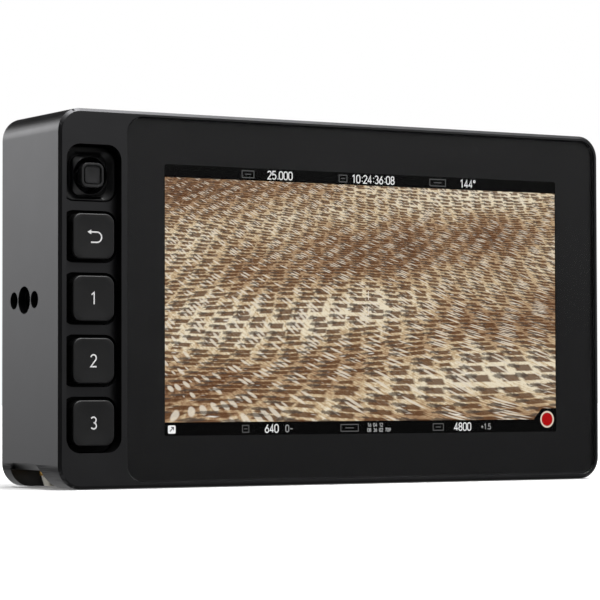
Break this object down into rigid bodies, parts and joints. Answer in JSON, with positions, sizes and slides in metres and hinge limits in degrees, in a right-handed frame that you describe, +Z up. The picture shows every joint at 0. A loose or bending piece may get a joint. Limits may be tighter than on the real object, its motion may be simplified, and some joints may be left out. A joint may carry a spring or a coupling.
{
  "type": "on-camera field monitor",
  "caption": "Small on-camera monitor: touch screen under flush glass in an aluminium body, with side keys, thumb joystick, camera-screw mounts and a connector bay.",
  "frame": {"origin": "middle of the bottom face", "axes": "+X right as seen from the front, +Y from the screen to the back, +Z up"},
  "size_m": [0.151, 0.031, 0.0862],
  "materials": {
    "anodised_black": "satin black anodised",
    "black_plastic": "matte black",
    "key_plastic": "fine matte charcoal",
    "seal_rubber": "matte",
    "steel": "plain",
    "dark_glass": "smooth, tinted border",
    "adhesive": "matte",
    "display": "lit picture",
    "white_film": "matte white",
    "aluminium": "plain",
    "lamp": "phosphor yellow",
    "board": "solder mask",
    "dark_part": "matte",
    "flex": "amber film",
    "lead_red": "wire skin",
    "nickel": "nickel plated",
    "gold": "gold plated",
    "insulator": "ivory"
  },
  "bodies": {
    "monitor": {"housing": "anodised_black", "rear_cover": "anodised_black", "rear_seal": "seal_rubber", "cover_screws": "steel", "cover_glass": "dark_glass", "glass_tape": "adhesive", "lcd_panel": "display", "diffuser_films": "white_film", "backlight_tray": "white_film", "led_board": "aluminium", "leds": "lamp", "midframe": "aluminium", "midframe_screws": "steel", "key_board": "board", "key_switches": "dark_part", "joystick_bezel": "black_plastic", "joystick_base": "dark_part", "key_flex": "flex", "main_board": "board", "board_screws": "steel", "processor_chip": "dark_part", "memory_chips": "dark_part", "board_parts": "dark_part", "clock_cell": "nickel", "thermal_pad": "seal_rubber", "heat_sink": "aluminium", "fan_case": "dark_part", "fan_lead": "lead_red", "connector_board": "board", "power_inlet_nut": "nickel", "power_inlet_washer": "gold", "power_inlet_core": "black_plastic", "contact_pins": "gold", "sdi_in_jack": "nickel", "sdi_out_jack": "nickel", "sdi_washers": "gold", "sdi_cores": "insulator", "board_link": "dark_part", "hdmi_socket": "nickel", "usb_socket": "nickel", "headphone_jack": "black_plastic", "card_socket": "steel", "power_switch": "dark_part", "lcd_flex": "flex", "touch_flex": "flex", "left_mount": "steel", "right_mount": "steel", "top_mount": "steel", "bottom_mount": "steel"},
    "back_key": {"key_back": "key_plastic"},
    "key_1_body": {"key_1": "key_plastic"},
    "key_2_body": {"key_2": "key_plastic"},
    "key_3_body": {"key_3": "key_plastic"},
    "gimbal": {"joystick_gimbal": "steel"},
    "yoke": {"joystick_yoke": "dark_part"},
    "stick": {"joystick_stem": "dark_part", "joystick_cap": "key_plastic"},
    "power_key": {"power_button": "black_plastic"},
    "fan": {"fan_rotor": "dark_part"}
  },
  "joints": [
    {"name": "back_key_press", "type": "slide", "parent": "monitor", "child": "back_key", "axis": [0, 1, 0], "range_m": [0, 0.0005], "stiffness_N_per_m": 300, "springref_m": -0.001},
    {"name": "key_1_press", "type": "slide", "parent": "monitor", "child": "key_1_body", "axis": [0, 1, 0], "range_m": [0, 0.0005], "stiffness_N_per_m": 300, "springref_m": -0.001},
    {"name": "key_2_press", "type": "slide", "parent": "monitor", "child": "key_2_body", "axis": [0, 1, 0], "range_m": [0, 0.0005], "stiffness_N_per_m": 300, "springref_m": -0.001},
    {"name": "key_3_press", "type": "slide", "parent": "monitor", "child": "key_3_body", "axis": [0, 1, 0], "range_m": [0, 0.0005], "stiffness_N_per_m": 300, "springref_m": -0.001},
    {"name": "joystick_up_down", "type": "hinge", "parent": "monitor", "child": "gimbal", "pos_m": [-0.06675, -0.0075, 0.0711], "axis": [1, 0, 0], "range_deg": [-5.5, 5.5], "stiffness_Nm_per_rad": 0.02},
    {"name": "joystick_left_right", "type": "hinge", "parent": "gimbal", "child": "yoke", "pos_m": [-0.06675, -0.0075, 0.0711], "axis": [0, 0, 1], "range_deg": [-5.5, 5.5], "stiffness_Nm_per_rad": 0.02},
    {"name": "joystick_press", "type": "slide", "parent": "yoke", "child": "stick", "axis": [0, 1, 0], "range_m": [0, 0.0004], "stiffness_N_per_m": 300, "springref_m": -0.001},
    {"name": "power_press", "type": "slide", "parent": "monitor", "child": "power_key", "axis": [0, 0, -1], "range_m": [0, 0.0005], "stiffness_N_per_m": 300, "springref_m": -0.001},
    {"name": "fan_spin", "type": "hinge", "parent": "monitor", "child": "fan", "pos_m": [-0.024, 0.0064, 0.05], "axis": [0, 1, 0], "continuous": true}
  ]
}
